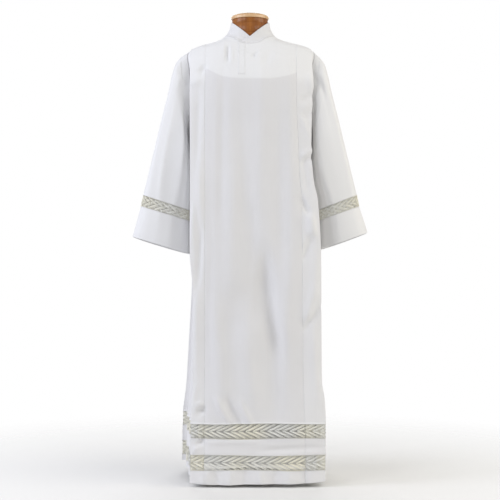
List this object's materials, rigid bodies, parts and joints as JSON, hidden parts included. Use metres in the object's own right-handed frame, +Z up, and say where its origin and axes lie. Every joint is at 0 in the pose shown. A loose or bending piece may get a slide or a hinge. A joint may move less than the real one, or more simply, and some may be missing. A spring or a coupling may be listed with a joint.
{
  "type": "alb robe on dress form",
  "caption": "Full-length white alb with box pleats, stand collar, wide sleeves and lace insertions, hung on a limbless dress form with a wooden neck on a pole and round base.",
  "frame": {"origin": "middle of the stand base's flat underside, on the surface it stands on", "axes": "+Z up the pole; the front of the alb faces -Y; +X is the viewer's right, facing the front"},
  "size_m": [0.8092, 0.3548, 1.598],
  "materials": {
    "alb_cloth": "plain white woven cloth, matt",
    "lace": "open lace of cream and silver leaves",
    "form_cover": "smooth cream jersey",
    "neck_wood": "gloss varnish",
    "cap_wood": "gloss varnish",
    "pole_steel": "brushed",
    "base_iron": "black enamel"
  },
  "bodies": {
    "root": {"front_panel": "alb_cloth", "back_panel": "alb_cloth", "front_spacer_band": "alb_cloth", "back_spacer_band": "alb_cloth", "front_hem_band": "alb_cloth", "back_hem_band": "alb_cloth", "placket": "alb_cloth", "collar": "alb_cloth", "left_sleeve": "alb_cloth", "right_sleeve": "alb_cloth", "left_cuff": "alb_cloth", "right_cuff": "alb_cloth", "front_upper_lace": "lace", "back_upper_lace": "lace", "front_lower_lace": "lace", "back_lower_lace": "lace", "left_cuff_lace": "lace", "right_cuff_lace": "lace", "form_torso": "form_cover", "form_neck": "neck_wood", "form_cap": "cap_wood", "stand_pole": "pole_steel", "stand_base": "base_iron"}
  },
  "joints": []
}
